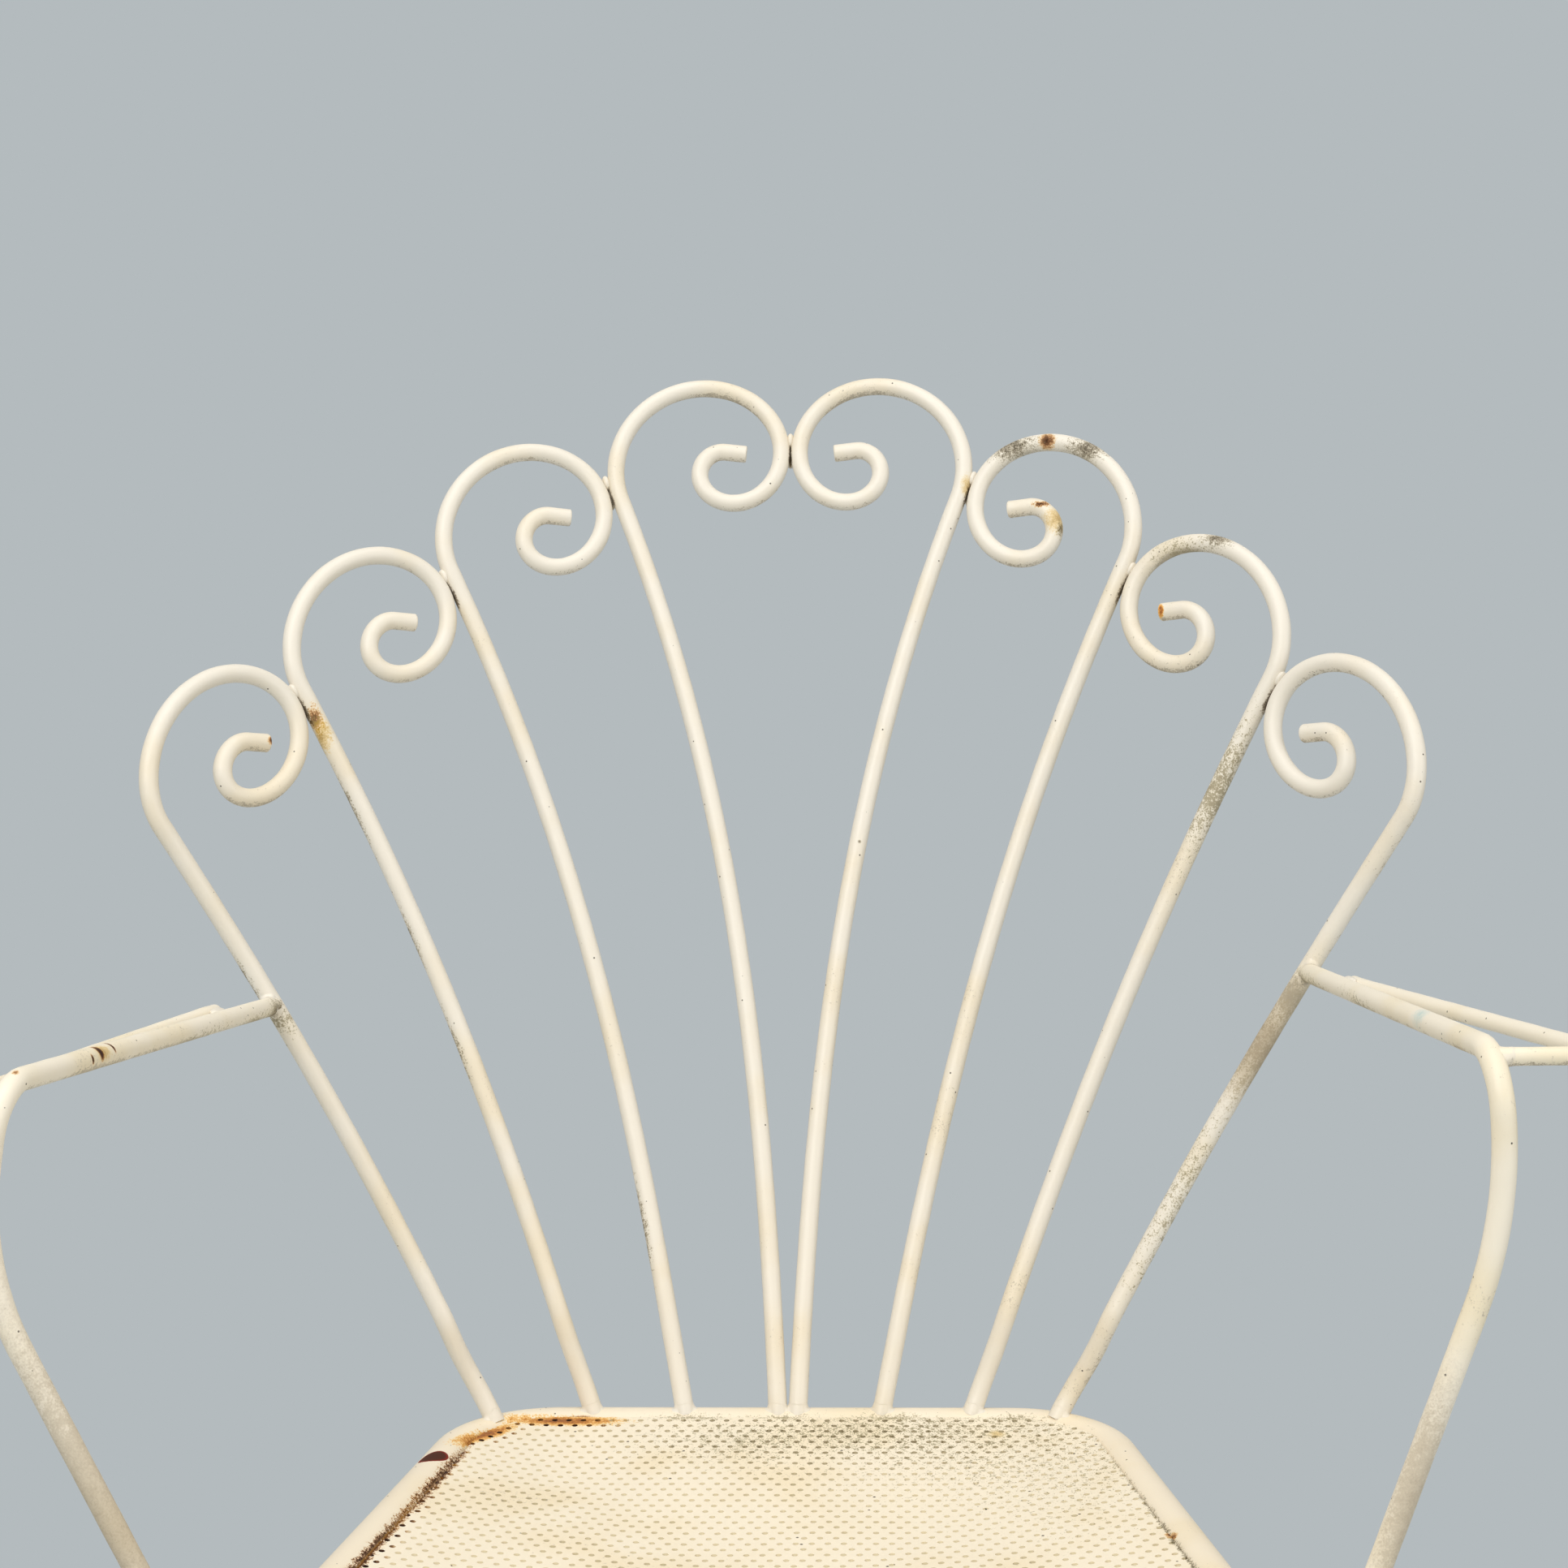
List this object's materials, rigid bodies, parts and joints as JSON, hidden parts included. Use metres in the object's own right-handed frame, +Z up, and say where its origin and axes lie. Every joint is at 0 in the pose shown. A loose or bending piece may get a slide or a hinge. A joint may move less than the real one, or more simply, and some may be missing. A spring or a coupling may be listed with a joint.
{
  "type": "garden armchair",
  "caption": "Fan-backed metal garden armchair: scroll-ended rods rise from a dished seat in a tube rim, with rod arms, outer loops and tube legs.",
  "frame": {"origin": "on the floor under the middle of the chair's bounding box", "axes": "+Z up, -Y the way the sitter faces, +X to the right of someone who looks at the chair from the front"},
  "size_m": [0.54, 0.567, 0.8695],
  "materials": {
    "paint": "old cream enamel on steel rod and tube, specked, chipped and rusty in places",
    "sheet_paint": "old cream enamel on perforated steel sheet, rusty at its cut edge",
    "weld_paint": "weld metal under the same enamel",
    "cap_plastic": "dull moulded plastic"
  },
  "bodies": {
    "root": {"seat_rim": "paint", "seat_sheet": "sheet_paint", "back_rod_left_1": "paint", "back_rod_left_2": "paint", "back_rod_left_3": "paint", "back_rod_left_4": "paint", "back_rod_right_1": "paint", "back_rod_right_2": "paint", "back_rod_right_3": "paint", "back_rod_right_4": "paint", "weld_foot_middle": "weld_paint", "weld_foot_left_2": "weld_paint", "weld_foot_left_3": "weld_paint", "weld_foot_left_4": "weld_paint", "weld_foot_right_2": "weld_paint", "weld_foot_right_3": "weld_paint", "weld_foot_right_4": "weld_paint", "weld_scroll_middle": "weld_paint", "weld_scroll_left_2": "weld_paint", "weld_scroll_left_3": "weld_paint", "weld_scroll_left_4": "weld_paint", "weld_scroll_right_2": "weld_paint", "weld_scroll_right_3": "weld_paint", "weld_scroll_right_4": "weld_paint", "arm_rod_left": "paint", "arm_rod_right": "paint", "arm_loop_left": "paint", "arm_loop_right": "paint", "weld_arm_back_left": "weld_paint", "weld_arm_back_right": "weld_paint", "weld_arm_post_left": "weld_paint", "weld_arm_post_right": "weld_paint", "weld_loop_back_left": "weld_paint", "weld_loop_back_right": "weld_paint", "weld_loop_front_left": "weld_paint", "weld_loop_front_right": "weld_paint", "leg_hoop_front": "paint", "leg_hoop_rear": "paint", "weld_leg_front_left": "weld_paint", "weld_leg_front_right": "weld_paint", "weld_leg_rear_left": "weld_paint", "weld_leg_rear_right": "weld_paint", "foot_cap_front_left": "cap_plastic", "foot_cap_front_right": "cap_plastic", "foot_cap_rear_left": "cap_plastic", "foot_cap_rear_right": "cap_plastic"}
  },
  "joints": []
}
